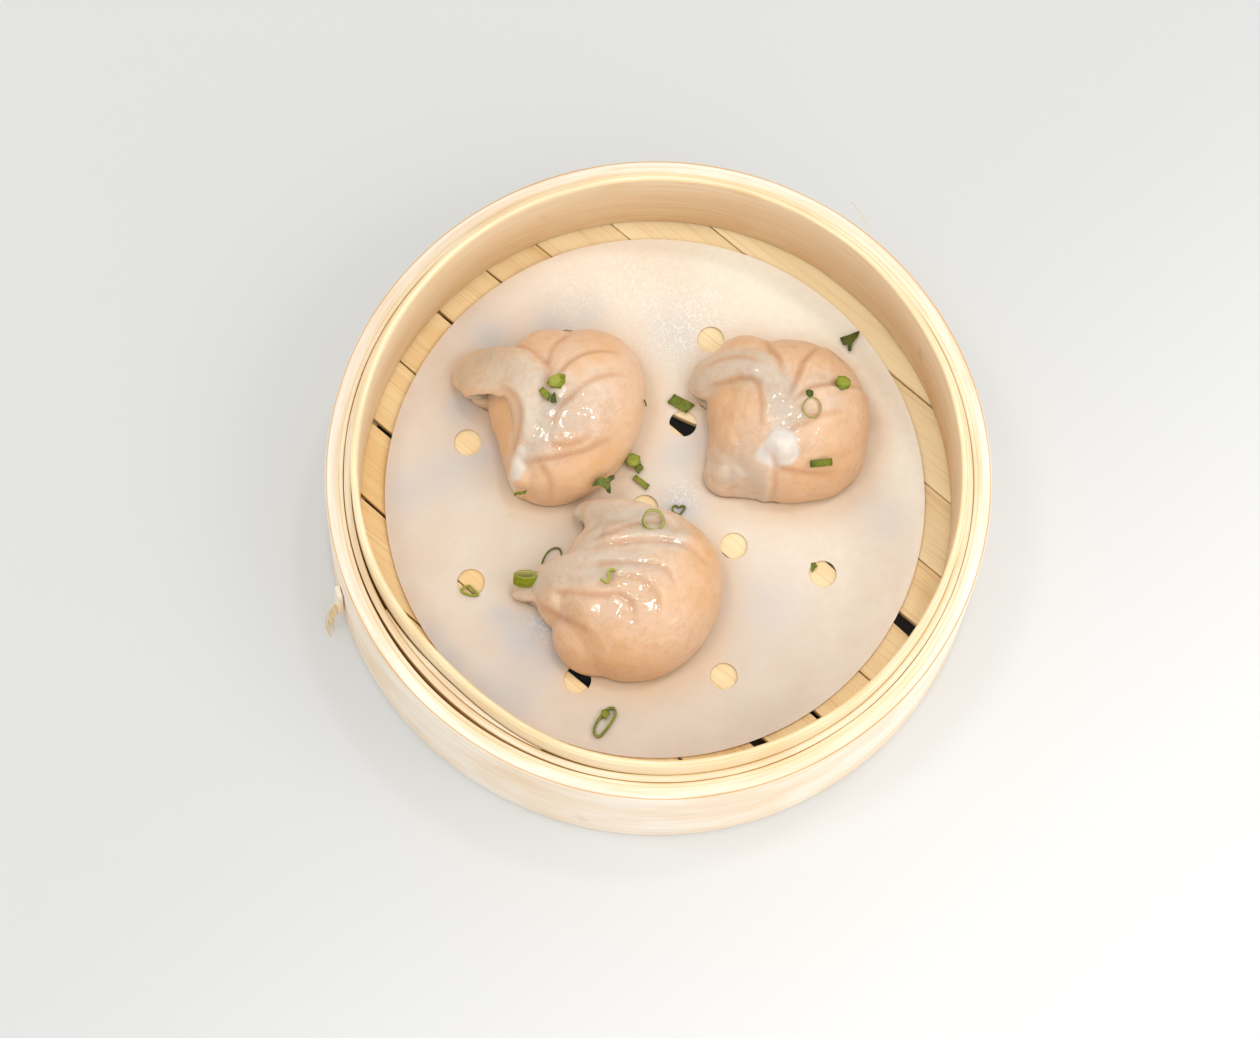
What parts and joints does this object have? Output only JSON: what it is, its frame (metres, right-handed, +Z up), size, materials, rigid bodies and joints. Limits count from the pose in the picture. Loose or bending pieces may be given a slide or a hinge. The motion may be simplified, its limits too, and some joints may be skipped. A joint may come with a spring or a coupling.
{
  "type": "steamed dumplings in a bamboo steamer",
  "caption": "Pleated translucent shrimp dumplings on a perforated waxed-paper liner inside a round open bamboo steamer basket with a slatted floor.",
  "frame": {"origin": "on the basket's vertical axis, at the level of the surface it stands on", "axes": "+Z up, along the basket's axis; the single dumpling that lies alone is towards -Y, the other two towards +Y, and the loose lacing end is on the outside towards -X"},
  "size_m": [0.18, 0.18, 0.0522],
  "materials": {
    "bamboo": "satin",
    "waxed_paper": "matte",
    "dumpling_skin": "gloss"
  },
  "bodies": {
    "root": {"outer_hoop": "bamboo", "middle_hoop": "bamboo", "inner_hoop": "bamboo", "ledge_hoop": "bamboo", "lap_strip": "bamboo", "slat_01": "bamboo", "slat_02": "bamboo", "slat_03": "bamboo", "slat_04": "bamboo", "slat_05": "bamboo", "slat_06": "bamboo", "slat_07": "bamboo", "slat_08": "bamboo", "slat_09": "bamboo", "slat_10": "bamboo", "cross_bar_1": "bamboo", "cross_bar_2": "bamboo", "cross_bar_3": "bamboo", "lacing_end": "bamboo", "liner": "waxed_paper", "dumpling_1": "dumpling_skin", "dumpling_2": "dumpling_skin", "dumpling_3": "dumpling_skin"}
  },
  "joints": []
}
